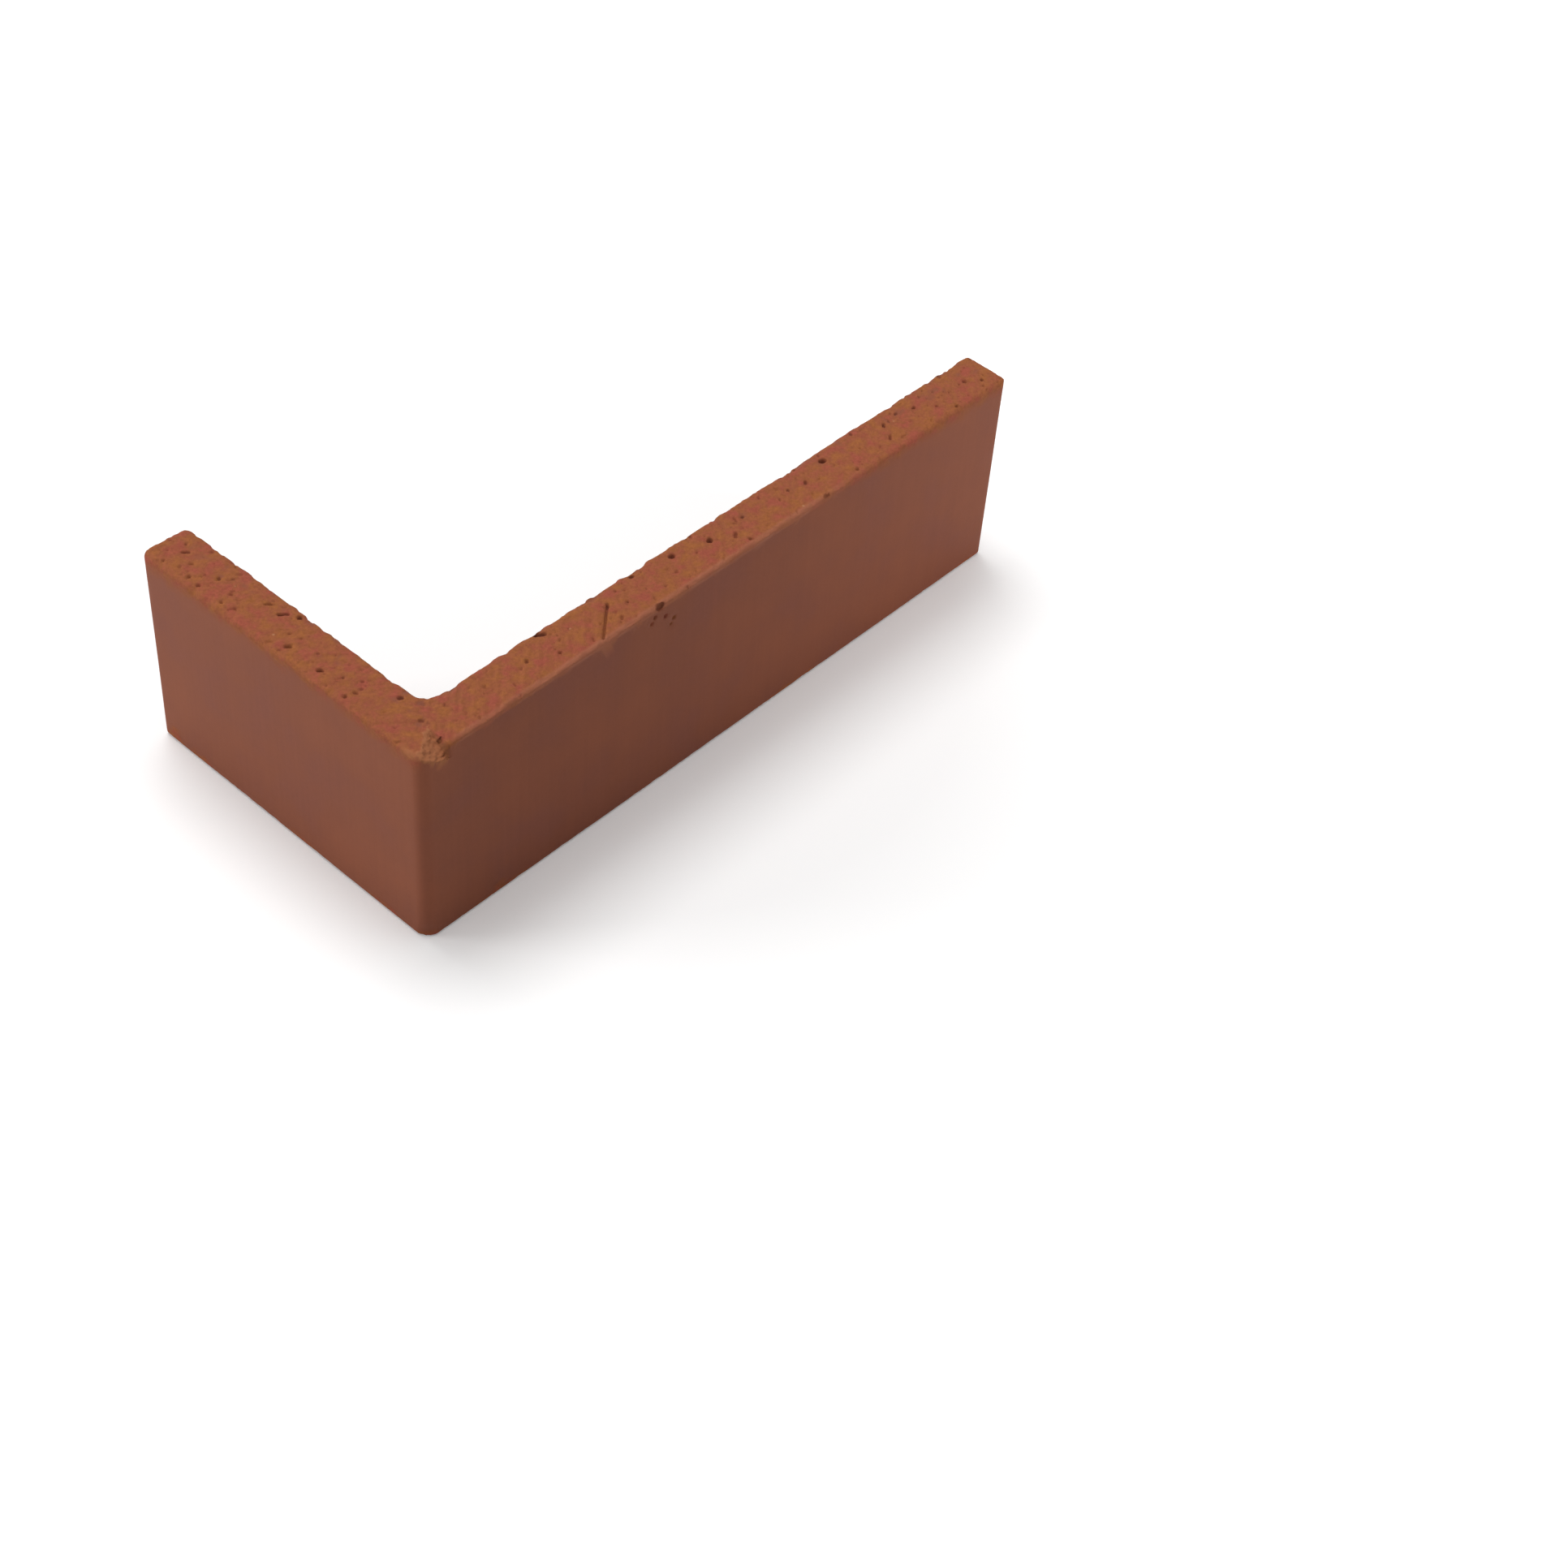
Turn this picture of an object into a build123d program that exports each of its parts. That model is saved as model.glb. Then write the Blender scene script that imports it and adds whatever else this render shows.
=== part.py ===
from build123d import *

import os

# Thin brick corner: one extruded, wire-cut and fired L of clay that turns a brick veneer
# round an outside corner of a wall.
# Millimetres, +Z up. The brick stands on its lower bed. Its section is drawn with the outer
# arris at the origin, the long leg along +X and the short leg along +Y.

# Sizes of the stock
LONG_FACE = 193.7
SHORT_FACE = 92.1
COURSE_HEIGHT = 57.2
THICKNESS = 12.7

# Roundings. The die rounds the outer arris, its core rounds the inner corner, and the wires
# leave the leg ends and the bed arrises soft.
OUTER_ARRIS_RADIUS = 3.2
INNER_CORNER_RADIUS = 4.5
LEG_END_RADIUS = 1.2
BED_ARRIS_RADIUS = 0.9

# Centre of the finished brick's plan, which is moved to the origin
BOX_CENTRE_X = LONG_FACE / 2
BOX_CENTRE_Y = SHORT_FACE / 2


def corner_near(section, x, y):
    """The corner of the section nearest to a point."""
    return section.vertices().sort_by_distance((x, y))[0]


def column_section():
    """The L-shaped section of the clay column as it leaves the die."""
    with BuildSketch() as section:
        Rectangle(LONG_FACE, THICKNESS, align=(Align.MIN, Align.MIN))
        Rectangle(THICKNESS, SHORT_FACE, align=(Align.MIN, Align.MIN))
        fillet(corner_near(section, 0, 0), OUTER_ARRIS_RADIUS)
        fillet(corner_near(section, THICKNESS, THICKNESS), INNER_CORNER_RADIUS)
        fillet(corner_near(section, LONG_FACE, 0), LEG_END_RADIUS)
        fillet(corner_near(section, LONG_FACE, THICKNESS), LEG_END_RADIUS)
        fillet(corner_near(section, 0, SHORT_FACE), LEG_END_RADIUS)
        fillet(corner_near(section, THICKNESS, SHORT_FACE), LEG_END_RADIUS)
    return section.sketch


def thin_brick_corner():
    """One course height of the column, cut by the wires on both beds."""
    with BuildPart() as brick:
        add(column_section())
        extrude(amount=COURSE_HEIGHT)
        upper_bed = brick.faces().sort_by(Axis.Z)[-1]
        lower_bed = brick.faces().sort_by(Axis.Z)[0]
        fillet(upper_bed.edges() + lower_bed.edges(), BED_ARRIS_RADIUS)
    return brick.part


brick = Pos(-BOX_CENTRE_X, -BOX_CENTRE_Y, 0) * thin_brick_corner()

os.makedirs("parts", exist_ok=True)
export_step(brick, "parts/thin_brick_corner.step")
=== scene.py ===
"""A thin brick corner of fired red clay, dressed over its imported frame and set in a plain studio."""

import itertools
import logging
import math
from dataclasses import dataclass, field
from enum import Enum

import bmesh
import bpy
import numpy as np
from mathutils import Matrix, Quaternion, Vector


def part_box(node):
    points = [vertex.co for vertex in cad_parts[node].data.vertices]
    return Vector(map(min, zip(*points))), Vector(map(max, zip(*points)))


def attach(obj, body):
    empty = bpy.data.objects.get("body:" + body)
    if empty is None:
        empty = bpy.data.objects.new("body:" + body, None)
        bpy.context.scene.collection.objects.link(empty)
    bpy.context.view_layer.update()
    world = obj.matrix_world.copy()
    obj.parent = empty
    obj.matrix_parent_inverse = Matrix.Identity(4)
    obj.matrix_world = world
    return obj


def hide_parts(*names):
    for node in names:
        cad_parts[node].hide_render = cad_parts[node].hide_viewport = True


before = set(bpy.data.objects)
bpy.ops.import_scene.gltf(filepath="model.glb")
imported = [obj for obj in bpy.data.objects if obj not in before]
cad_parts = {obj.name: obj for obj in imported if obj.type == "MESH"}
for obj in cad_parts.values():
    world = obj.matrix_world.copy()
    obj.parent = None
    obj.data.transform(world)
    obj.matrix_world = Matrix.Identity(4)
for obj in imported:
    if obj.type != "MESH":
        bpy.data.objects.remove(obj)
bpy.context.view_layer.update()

LOG = logging.getLogger("brick_corner")

METRES_PER_MM = 0.001
NODE = "thin_brick_corner"
LATTICE_CELLS = 64
RIGHT_ANGLE = math.pi / 2

# Keeps a division by a distance defined
LEAST_MM = 1e-6

# Faces that meet at less than this lie in one plane
FLAT_ANGLE = math.radians(1.0)

# Two places of the section closer than this are one corner
SAME_PLACE_MM = 0.01


class Bed(Enum):
    """The two wire-cut faces, each with the seed of its own tear."""

    LOWER = 211
    UPPER = 97


class Wire(Enum):
    """The way that the cutting wire dragged the clay, in degrees from the long leg."""

    ALONG_LONG_LEG = 45.0
    ALONG_SHORT_LEG = -41.0


class LightKind(Enum):
    """The two kinds of lamp in the studio."""

    SOFT_BOX = "AREA"
    SNOOT = "SPOT"


# Measures and noise


def smooth_step(low: float, high: float, value: np.ndarray) -> np.ndarray:
    """Eases from 0 at low to 1 at high.

    Args:
        low: The value at which the result is 0.
        high: The value at which the result is 1; it may be the smaller one.
        value: The values to ease.

    Returns:
        The eased values, from 0 to 1.
    """
    share = np.clip((value - low) / (high - low), 0.0, 1.0)
    return share * share * (3.0 - 2.0 * share)


@dataclass(frozen=True)
class LatticeNoise:
    """Smooth seeded noise, the same in every run, with its cell in millimetres."""

    seed: int
    cell: tuple[float, float, float]

    def at(self, places: np.ndarray) -> np.ndarray:
        """Samples the noise.

        Args:
            places: Places in millimetres, one row each.

        Returns:
            A value from -1 to 1 for each place.
        """
        lattice = np.random.default_rng(self.seed).uniform(-1.0, 1.0, (LATTICE_CELLS,) * 3)
        scaled = places / np.array(self.cell) + self.seed
        base = np.floor(scaled).astype(int)
        eased = smooth_step(0.0, 1.0, scaled - base)
        total = np.zeros(len(places))
        for corner in itertools.product((0, 1), repeat=3):
            index = (base + corner) % LATTICE_CELLS
            share = np.prod(np.where(np.array(corner) == 1, eased, 1.0 - eased), axis=1)
            total += share * lattice[index[:, 0], index[:, 1], index[:, 2]]
        return total


@dataclass(frozen=True)
class LSection:
    """The L that the section's depth is measured in, in millimetres from the outer arris."""

    long_face: float
    short_face: float
    thickness: float
    outer_radius: float

    def along_outer_faces(self, places: np.ndarray) -> tuple[np.ndarray, np.ndarray, np.ndarray]:
        """Follows the two outer faces and the arris between them.

        Args:
            places: Places in millimetres, one row each.

        Returns:
            Each place's depth behind those faces, the way out in plan, and how far along them it is
            from the arris: below 0 on the short leg.
        """
        inward = self.outer_radius - places[:, :2]
        rounded = (inward > 0.0).all(axis=1)
        reach = np.maximum(np.linalg.norm(inward, axis=1), LEAST_MM)
        short = self.on_short_leg(places)
        depth = np.where(rounded, self.outer_radius - reach, np.where(short, places[:, 0], places[:, 1]))
        way = np.where(short[:, None], np.array((-1.0, 0.0)), np.array((0.0, -1.0)))
        way = np.where(rounded[:, None], -inward / reach[:, None], way)
        return depth, way, np.where(short, -places[:, 1], places[:, 0])

    def from_inner_faces(self, places: np.ndarray) -> np.ndarray:
        """Distance of each place from the two back faces.

        Args:
            places: Places in millimetres, one row each.

        Returns:
            The distances in millimetres.
        """
        back_x = np.maximum(self.thickness - places[:, 0], 0.0)
        back_y = np.maximum(self.thickness - places[:, 1], 0.0)
        return np.hypot(back_x, back_y)

    def depth(self, places: np.ndarray) -> np.ndarray:
        """Distance of each place from the nearest upright face.

        Args:
            places: Places in millimetres, one row each.

        Returns:
            The distances in millimetres.
        """
        outer = np.minimum(places[:, 0], places[:, 1])
        ends = np.minimum(self.long_face - places[:, 0], self.short_face - places[:, 1])
        return np.minimum(np.minimum(outer, ends), self.from_inner_faces(places))

    def on_short_leg(self, places: np.ndarray) -> np.ndarray:
        """True for each place that is beyond the corner, on the short leg."""
        return places[:, 1] > places[:, 0]


# Marks of making and wear


@dataclass(frozen=True)
class Pore:
    """An opening in the torn bed, left by air or by a grain that the wire pulled out.

    Lengths are in millimetres. The stretch is the pore's length over its width, and the floor share
    is the part of its half width that is flat at the bottom.
    """

    along_x: float
    along_y: float
    half_width: float
    depth: float
    stretch: float = 1.0
    turn_degrees: float = 0.0
    floor_share: float = 0.35

    def hollow(self, places: np.ndarray) -> np.ndarray:
        """How far into the pore each place is.

        Args:
            places: Places in millimetres, one row each.

        Returns:
            1 at the pore's middle, 0 at its rim and beyond it.
        """
        turn = math.radians(self.turn_degrees)
        away_x = places[:, 0] - self.along_x
        away_y = places[:, 1] - self.along_y
        straight = self.half_width * (self.stretch - 1.0)
        along = np.abs(away_x * math.cos(turn) + away_y * math.sin(turn)) - straight
        across = away_y * math.cos(turn) - away_x * math.sin(turn)
        reach = np.hypot(np.maximum(along, 0.0), across) / self.half_width
        return 1.0 - smooth_step(self.floor_share, 1.0, reach)


@dataclass(frozen=True)
class Chip:
    """A bite out of an arris or a face, the inside of a ball whose middle is in the air beside it."""

    middle: tuple[float, float, float]
    radius: float
    # How dark the chip's inside is painted: painted shade in the bite
    shade: float = 0.0
    roughness: float = 0.28
    rim: tuple[float, float] = (0.45, 0.15)
    grain: LatticeNoise = LatticeNoise(31, (0.9, 0.9, 0.9))

    def reach(self, places: np.ndarray) -> tuple[np.ndarray, np.ndarray]:
        """Measures how far each place is from the ball's middle, and how far the ragged skin is there.

        Args:
            places: Places in millimetres, one row each.

        Returns:
            Both distances in millimetres.
        """
        reach = np.linalg.norm(places - np.array(self.middle), axis=1)
        return reach, self.radius + self.roughness * self.grain.at(places)

    def bite(self, places: np.ndarray) -> np.ndarray:
        """Pushes the places inside the ball out to its skin.

        Args:
            places: Places in millimetres, one row each.

        Returns:
            The places after the bite.
        """
        reach, skin = self.reach(places)
        inside = reach < skin
        moved = places.copy()
        away = places[inside] - np.array(self.middle)
        moved[inside] += away * (skin[inside] / np.maximum(reach[inside], LEAST_MM) - 1.0)[:, None]
        return moved

    def broken(self, places: np.ndarray) -> np.ndarray:
        """Tells the broken clay from the rest.

        Args:
            places: Places of the bitten surface in millimetres, one row each.

        Returns:
            1 on the ball's skin, 0 away from it.
        """
        reach, skin = self.reach(places)
        return smooth_step(*self.rim, np.abs(reach - skin))


@dataclass(frozen=True)
class Spall:
    """A flake broken off the upper corner, down to a slanting plane that ends at an upright step.

    The foot is where the plane meets the long face at the step.
    """

    foot: tuple[float, float, float] = (8.2, 0.0, 52.5)
    facing: tuple[float, float, float] = (0.48, -0.72, 1.0)
    roughness: float = 0.32
    grit_share: float = 0.8
    step_waver: float = 0.3
    rim: tuple[float, float] = (0.55, 0.25)
    lumps: LatticeNoise = LatticeNoise(83, (1.3, 1.3, 1.3))
    grit: LatticeNoise = LatticeNoise(89, (0.6, 0.6, 0.6))
    step: LatticeNoise = LatticeNoise(97, (1.2, 1.2, 1.2))

    def over(self, places: np.ndarray) -> np.ndarray:
        """Measures how far each place stands over the broken plane, straight out from the long leg.

        Args:
            places: Places in millimetres, one row each.

        Returns:
            The distances in millimetres, below 0 behind the plane.
        """
        facing = np.array(self.facing)
        ragged = self.lumps.at(places) + self.grit_share * self.grit.at(places)
        above = ((places - np.array(self.foot)) @ facing) / np.linalg.norm(facing[1:])
        return above - self.roughness * ragged

    def within(self, places: np.ndarray) -> np.ndarray:
        """True for each place on the corner's side of the step."""
        return places[:, 0] < self.foot[0] + self.step_waver * self.step.at(places)

    def bite(self, places: np.ndarray) -> np.ndarray:
        """Takes the flake away.

        Args:
            places: Places in millimetres, one row each.

        Returns:
            The places after the break.
        """
        inside = self.within(places) & (self.over(places) > 0.0)
        way = np.array((0.0, *self.facing[1:]))
        moved = places.copy()
        moved[inside] -= way / np.linalg.norm(way) * self.over(places[inside])[:, None]
        return moved

    def broken(self, places: np.ndarray) -> np.ndarray:
        """Tells the broken clay from the rest.

        Args:
            places: Places of the broken surface in millimetres, one row each.

        Returns:
            1 on the plane, 0 away from it.
        """
        return smooth_step(*self.rim, np.abs(self.over(places))) * self.within(places)


@dataclass(frozen=True)
class Tinge:
    """A worn patch low on the outer faces where the orange body shows through the skin."""

    run: float
    width: float
    rise: float

    def over(self, run: np.ndarray) -> np.ndarray:
        """How high, in millimetres, the patch reaches beside each run along the outer faces."""
        return self.rise * np.exp(-((run - self.run) / self.width) ** 2)


@dataclass(frozen=True)
class RolledArris:
    """The upper bed's outer arris, which the wire rolled over: most at the two tips and the corner.

    Each station is a run along the outer faces, below 0 on the short leg, and the radius there.
    """

    stations: tuple[tuple[float, float], ...] = (
        (-92.0, 3.2), (-60.0, 2.2), (-24.0, 1.4), (-8.0, 1.5), (-2.5, 2.0), (3.0, 1.8), (10.0, 1.2),
        (130.0, 1.2), (160.0, 1.8), (190.0, 2.0))
    waver: float = 0.35
    waves: LatticeNoise = LatticeNoise(79, (2.4, 2.4, 9.0))

    def radius(self, run: np.ndarray) -> np.ndarray:
        """The rolled radius, in millimetres, beside each run along the outer faces."""
        return np.interp(run, *np.array(self.stations).T)

    def roll(self, places: np.ndarray, section: LSection, height: float) -> np.ndarray:
        """Rounds the arris off.

        Args:
            places: Places in millimetres, one row each.
            section: The L that the places are in.
            height: The course height in millimetres.

        Returns:
            The places after the rolling.
        """
        depth, way, run = section.along_outer_faces(places)
        radius = self.radius(run) * (1.0 + self.waver * self.waves.at(places))
        out = radius - depth
        up = places[:, 2] - (height - radius)
        reach = np.hypot(out, up)
        outside = (out > 0.0) & (up > 0.0) & (reach > radius)
        shrink = np.where(outside, radius / np.maximum(reach, LEAST_MM), 1.0)
        moved = places.copy()
        moved[:, :2] -= way * (out * (1.0 - shrink) * outside)[:, None]
        moved[:, 2] -= up * (1.0 - shrink) * outside
        return moved


@dataclass(frozen=True)
class TornBed:
    """Wire-cut clay: torn, dragged and pored, about half a millimetre deep.

    Each tear grade is its share of the depth and its cell in millimetres, and each range of the
    scattered pores is what is drawn from.
    """

    bed: Bed
    tear_depth: float = 0.42
    tear_grades: tuple[tuple[float, float], ...] = ((0.40, 7.0), (0.28, 2.6), (0.20, 1.2), (0.16, 0.6))
    drag_depth: float = 0.12
    furrow: tuple[float, float, float] = (9.0, 0.8, 1.0)
    # Pores this deep or deeper get the full painted shade; shallower ones get less
    dark_depth: float = 1.3
    small_pores: int = 260
    large_pores: int = 26
    small_half_widths: tuple[float, float] = (0.20, 0.36)
    large_half_widths: tuple[float, float] = (0.38, 0.62)
    depth_shares: tuple[float, float] = (0.6, 1.3)
    stretches: tuple[float, float] = (1.0, 2.2)
    turn_spread: float = 14.0
    facing_fade: tuple[float, float] = (0.25, 0.85)
    rim_margin: float = 0.3
    marks: tuple[Pore, ...] = ()

    def pores(self, section: LSection) -> list[Pore]:
        """Scatters the pores over the L and adds the marks.

        Args:
            section: The L that the pores are scattered in.

        Returns:
            The pores, all inside the L.
        """
        draw = np.random.default_rng(self.bed.value)
        scattered: list[Pore] = list(self.marks)
        wanted = len(self.marks) + self.small_pores + self.large_pores
        while len(scattered) < wanted:
            spot = draw.uniform((0.0, 0.0, 0.0), (section.long_face, section.short_face, 0.0))
            if section.depth(spot[None, :])[0] < self.rim_margin:
                continue
            large = len(scattered) - len(self.marks) < self.large_pores
            half_width = draw.uniform(*(self.large_half_widths if large else self.small_half_widths))
            short = section.on_short_leg(spot[None, :])[0]
            wire = Wire.ALONG_SHORT_LEG if short else Wire.ALONG_LONG_LEG
            scattered.append(Pore(
                along_x=spot[0], along_y=spot[1], half_width=half_width,
                depth=half_width * draw.uniform(*self.depth_shares), stretch=draw.uniform(*self.stretches),
                turn_degrees=wire.value + draw.normal(0.0, self.turn_spread)))
        return scattered

    def hollow(self, places: np.ndarray, section: LSection) -> tuple[np.ndarray, np.ndarray]:
        """Depth and shade of the pores under each place.

        Args:
            places: Places in millimetres, one row each.
            section: The L that the places are in.

        Returns:
            The pores' depth in millimetres, and their painted shade: how far into a pore each place is, from
            0 to 1, less where shallow.
        """
        order = np.argsort(places[:, 0])
        sorted_x = places[order, 0]
        depth = np.zeros(len(places))
        shade = np.zeros(len(places))
        for pore in self.pores(section):
            reach = pore.half_width * pore.stretch
            first = np.searchsorted(sorted_x, pore.along_x - reach)
            last = np.searchsorted(sorted_x, pore.along_x + reach)
            near = order[first:last]
            share = pore.hollow(places[near])
            depth[near] = np.maximum(depth[near], pore.depth * share)
            # Painted shade: the deeper the pore, the darker its clay is painted
            shade[near] = np.maximum(shade[near], share * min(1.0, pore.depth / self.dark_depth))
        return depth, shade

    def drop(self, places: np.ndarray, section: LSection) -> np.ndarray:
        """How far the torn clay lies below the cut plane, pores left out.

        Args:
            places: Places in millimetres, one row each.
            section: The L that the places are in.

        Returns:
            The drops in millimetres, none of them below 0.
        """
        flat = places * np.array((1.0, 1.0, 0.0))
        tear = sum(share * LatticeNoise(self.bed.value + grade, (cell, cell, 1.0)).at(flat)
                   for grade, (share, cell) in enumerate(self.tear_grades, start=1))
        drag = np.where(section.on_short_leg(flat), self._drag(flat, Wire.ALONG_SHORT_LEG),
                        self._drag(flat, Wire.ALONG_LONG_LEG))
        return np.maximum(self.tear_depth * (0.5 + 0.5 * tear) + self.drag_depth * drag, 0.0)

    def _drag(self, flat: np.ndarray, wire: Wire) -> np.ndarray:
        """Fine furrows along the wire's way.

        Args:
            flat: Places on the bed in millimetres, one row each.
            wire: The way that the wire moved there.

        Returns:
            A value from -1 to 1 for each place.
        """
        turn = math.radians(wire.value)
        along = flat[:, 0] * math.cos(turn) + flat[:, 1] * math.sin(turn)
        across = flat[:, 1] * math.cos(turn) - flat[:, 0] * math.sin(turn)
        turned = np.stack([along, across, flat[:, 2]], axis=1)
        return LatticeNoise(self.bed.value + len(self.tear_grades) + 1, self.furrow).at(turned)


@dataclass(frozen=True)
class ArrisWear:
    """The frayed arrises round both beds, the burr on their back ones and the skin's slow waves.

    Lengths are in millimetres. The lower share is what the lower bed's arrises get of the upper's
    wear, and a fade is the pair of values between which a mark fades out and in.
    """

    outer_fray: float = 0.28
    inner_fray: float = 0.42
    burr: float = 0.36
    lower_share: float = 0.3
    skin_wave: float = 0.07
    arris_fade: tuple[float, float] = (2.2, 0.3)
    back_fade: tuple[float, float] = (3.0, 1.0)
    burr_fade: tuple[float, float] = (-0.2, 0.8)
    fine_fray_share: float = 0.6
    fine_burr_share: float = 0.5
    fray_lumps: LatticeNoise = LatticeNoise(41, (2.6, 2.6, 2.6))
    fray_grit: LatticeNoise = LatticeNoise(43, (0.9, 0.9, 0.9))
    burr_lumps: LatticeNoise = LatticeNoise(47, (3.4, 3.4, 2.0))
    burr_grit: LatticeNoise = LatticeNoise(48, (1.3, 1.3, 1.2))
    swell: LatticeNoise = LatticeNoise(53, (31.0, 31.0, 24.0))

    def fray(self, places: np.ndarray, normals: np.ndarray, section: LSection, height: float) -> np.ndarray:
        """Frays the arrises, raises the burr and waves the skin.

        Args:
            places: Places in millimetres, one row each.
            normals: Their outward normals.
            section: The L that the places are in.
            height: The course height in millimetres.

        Returns:
            The places after the wear.
        """
        from_bed = np.minimum(places[:, 2], height - places[:, 2])
        arris = smooth_step(*self.arris_fade, section.depth(places)) * smooth_step(*self.arris_fade, from_bed)
        back = smooth_step(*self.back_fade, section.from_inner_faces(places))
        worn = arris * np.where(places[:, 2] > height / 2, 1.0, self.lower_share)
        fray = self.fray_lumps.at(places) + self.fine_fray_share * self.fray_grit.at(places)
        amount = self.outer_fray + (self.inner_fray - self.outer_fray) * back
        inward = amount * worn * np.maximum(fray, 0.0)
        raised = self.burr_lumps.at(places) + self.fine_burr_share * self.burr_grit.at(places)
        outward = self.burr * worn * back * smooth_step(*self.burr_fade, raised)
        wave = self.skin_wave * (0.5 + 0.5 * self.swell.at(places))
        sideways = normals * np.array((1.0, 1.0, 0.0))
        return places + sideways * (outward - wave)[:, None] - normals * inward[:, None]


@dataclass(frozen=True)
class TornEdges:
    """Where on the upright faces the torn clay ends, and the marks along that line.

    Lengths are in millimetres, a run goes along the outer faces and is below 0 on the short leg, and
    a fade is the pair of values between which a mark fades out and in.
    """

    fringe: float = 0.9
    wave_share: float = 0.50
    swell_share: float = 0.35
    grit_share: float = 0.80
    sharp_edge: float = 0.4
    ragged_edge: float = 1.7
    rolled_share: float = 0.35
    ragged_rolled_share: float = 0.45
    lower_share: float = 0.25
    patch_share: float = 0.8
    patch_waver: float = 0.6
    lip_waver: float = 0.25
    outer_fade: tuple[float, float] = (7.0, 5.0)
    near_ragged_fade: tuple[float, float] = (4.0, -4.0)
    far_ragged_fade: tuple[float, float] = (118.0, 150.0)
    lower_fade: tuple[float, float] = (0.9, -0.7)
    lip_depth_fade: tuple[float, float] = (1.7, 0.8)
    lip_height_fade: tuple[float, float] = (2.0, 1.3)
    lip_near_fade: tuple[float, float] = (8.0, 14.0)
    lip_far_fade: tuple[float, float] = (150.0, 115.0)
    scrape: float = 0.7
    scrape_far_fade: tuple[float, float] = (-7.5, -4.0)
    scrape_near_fade: tuple[float, float] = (1.0, -1.0)
    scrape_depth_fade: tuple[float, float] = (1.7, 0.7)
    scrape_height_fade: tuple[float, float] = (1.9, 0.9)
    sunk_fade: tuple[float, float] = (0.08, 0.22)
    upright_fade: tuple[float, float] = (0.0, 0.5)
    pore_reach: float = 3.0
    # Painted shade of small pits, spotted over the flake's scar by a noise
    scar_shade_share: float = 0.32
    scar_shade_fade: tuple[float, float] = (0.25, 0.6)
    scar_shade_spots: LatticeNoise = LatticeNoise(59, (0.9, 0.9, 0.9))
    waves: LatticeNoise = LatticeNoise(61, (3.0, 3.0, 3.0))
    swell: LatticeNoise = LatticeNoise(67, (9.0, 9.0, 9.0))
    grit: LatticeNoise = LatticeNoise(69, (1.5, 1.5, 1.5))
    patch_grit: LatticeNoise = LatticeNoise(71, (2.2, 2.2, 2.2))
    lip_waves: LatticeNoise = LatticeNoise(73, (4.0, 4.0, 4.0))

    def raggedness(self, run: np.ndarray) -> np.ndarray:
        """How ragged the line is, from 0 to 1: most on the short leg and near the long tip."""
        return np.maximum(smooth_step(*self.near_ragged_fade, run), smooth_step(*self.far_ragged_fade, run))

    def reach(self, places: np.ndarray, run: np.ndarray) -> np.ndarray:
        """How far, in millimetres, the torn clay reaches over the arris beside each place."""
        return (self.fringe + self.wave_share * self.waves.at(places)
                + self.swell_share * self.swell.at(places)
                + self.grit_share * self.raggedness(run) * self.grit.at(places))

    def torn_upper(self, places: np.ndarray, depth: np.ndarray, run: np.ndarray, from_top: np.ndarray,
                   rolled: np.ndarray) -> np.ndarray:
        """Tells the torn clay at the upper bed from the skin below it.

        Args:
            places: Places in millimetres, one row each.
            depth: Their depths behind the outer faces.
            run: Their runs along the outer faces.
            from_top: Their distances below the upper bed.
            rolled: The radii to which the outer arris is rolled there.

        Returns:
            1 on the torn clay, 0 on the skin.
        """
        outer = smooth_step(*self.outer_fade, depth)
        ragged = self.raggedness(run)
        soft = self.sharp_edge + self.ragged_edge * outer * ragged
        over = rolled * (self.rolled_share + self.ragged_rolled_share * ragged)
        reach = self.reach(places, run) + outer * over
        return smooth_step(soft, -soft, from_top - reach)

    def torn_lower(self, places: np.ndarray, depth: np.ndarray, run: np.ndarray, patch: np.ndarray
                   ) -> np.ndarray:
        """Tells the torn and worn clay at the foot from the skin above it.

        Args:
            places: Places in millimetres, one row each.
            depth: Their depths behind the outer faces.
            run: Their runs along the outer faces.
            patch: How high the worn patches reach there.

        Returns:
            1 on the torn clay, 0 on the skin.
        """
        patchy = self.patch_share + self.patch_waver * self.patch_grit.at(places)
        worn = patch * smooth_step(*self.outer_fade, depth) * patchy
        reach = self.lower_share * self.reach(places, run) + worn
        return smooth_step(*self.lower_fade, places[:, 2] - reach)

    def smeared(self, places: np.ndarray, depth: np.ndarray, run: np.ndarray, from_top: np.ndarray
                ) -> np.ndarray:
        """Finds the bright lip that the wire smeared along the long face's upper arris.

        Args:
            places: Places in millimetres, one row each.
            depth: Their depths behind the outer faces.
            run: Their runs along the outer faces.
            from_top: Their distances below the upper bed.

        Returns:
            1 on the lip, 0 away from it.
        """
        across = smooth_step(*self.lip_depth_fade, depth) * smooth_step(*self.lip_height_fade, from_top)
        along = smooth_step(*self.lip_near_fade, run) * smooth_step(*self.lip_far_fade, run)
        return across * along * (1.0 - self.lip_waver + self.lip_waver * self.lip_waves.at(places))

    def scraped(self, depth: np.ndarray, run: np.ndarray, from_top: np.ndarray) -> np.ndarray:
        """Finds the pale scrape beside the corner, on the short leg's upper arris.

        Args:
            depth: The places' depths behind the outer faces.
            run: Their runs along the outer faces.
            from_top: Their distances below the upper bed.

        Returns:
            The share of bare clay in it, 0 away from it.
        """
        along = smooth_step(*self.scrape_far_fade, run) * smooth_step(*self.scrape_near_fade, run)
        across = smooth_step(*self.scrape_depth_fade, depth) * smooth_step(*self.scrape_height_fade, from_top)
        return self.scrape * along * across

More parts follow.
